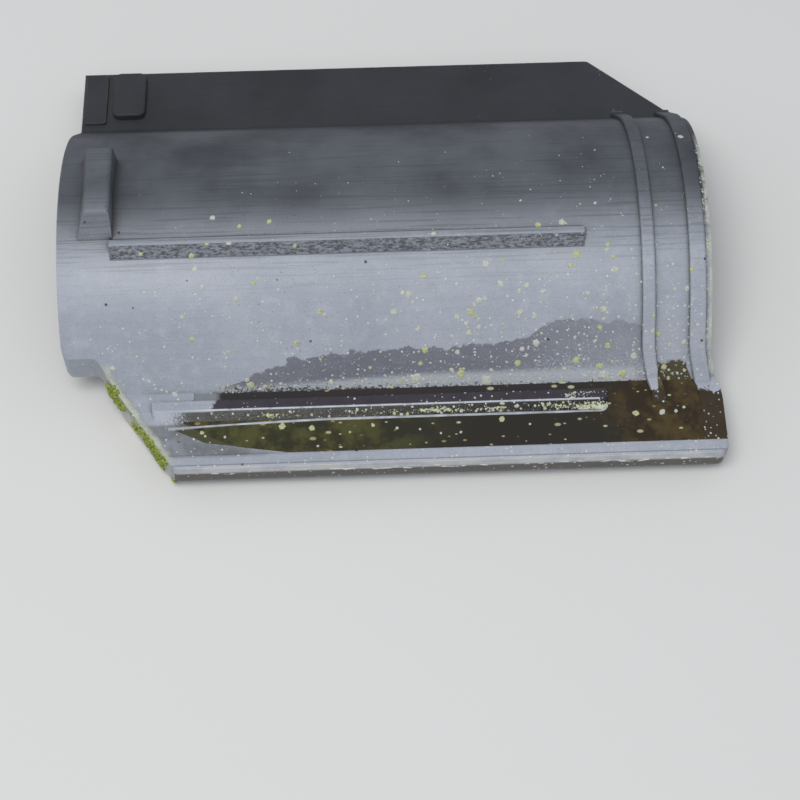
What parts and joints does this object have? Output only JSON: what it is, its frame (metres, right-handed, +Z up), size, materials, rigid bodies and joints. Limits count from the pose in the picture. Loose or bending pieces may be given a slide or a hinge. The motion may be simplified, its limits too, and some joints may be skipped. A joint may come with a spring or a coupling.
{
  "type": "clay roof tile",
  "caption": "Interlocking clay pantile lying underside up, with a low cover-lap rim and trough, a curved pan, a ribbed under-lap flange, weather bars, corner cuts and a hanging nib.",
  "frame": {"origin": "middle of the tile's outline in plan, on the level floor that it rests on", "axes": "+X along the tile from the head edge to the foot edge, +Y across it from the cover-lap rim to the under-lap flange, +Z up out of the tile's underside as it lies on its weather face"},
  "size_m": [0.405, 0.3061, 0.0998],
  "materials": {
    "roof_tile": "unglazed dark grey fired clay, matt, weathered, with lichen spots and a little moss"
  },
  "bodies": {
    "root": {"roof_tile": "roof_tile"}
  },
  "joints": []
}
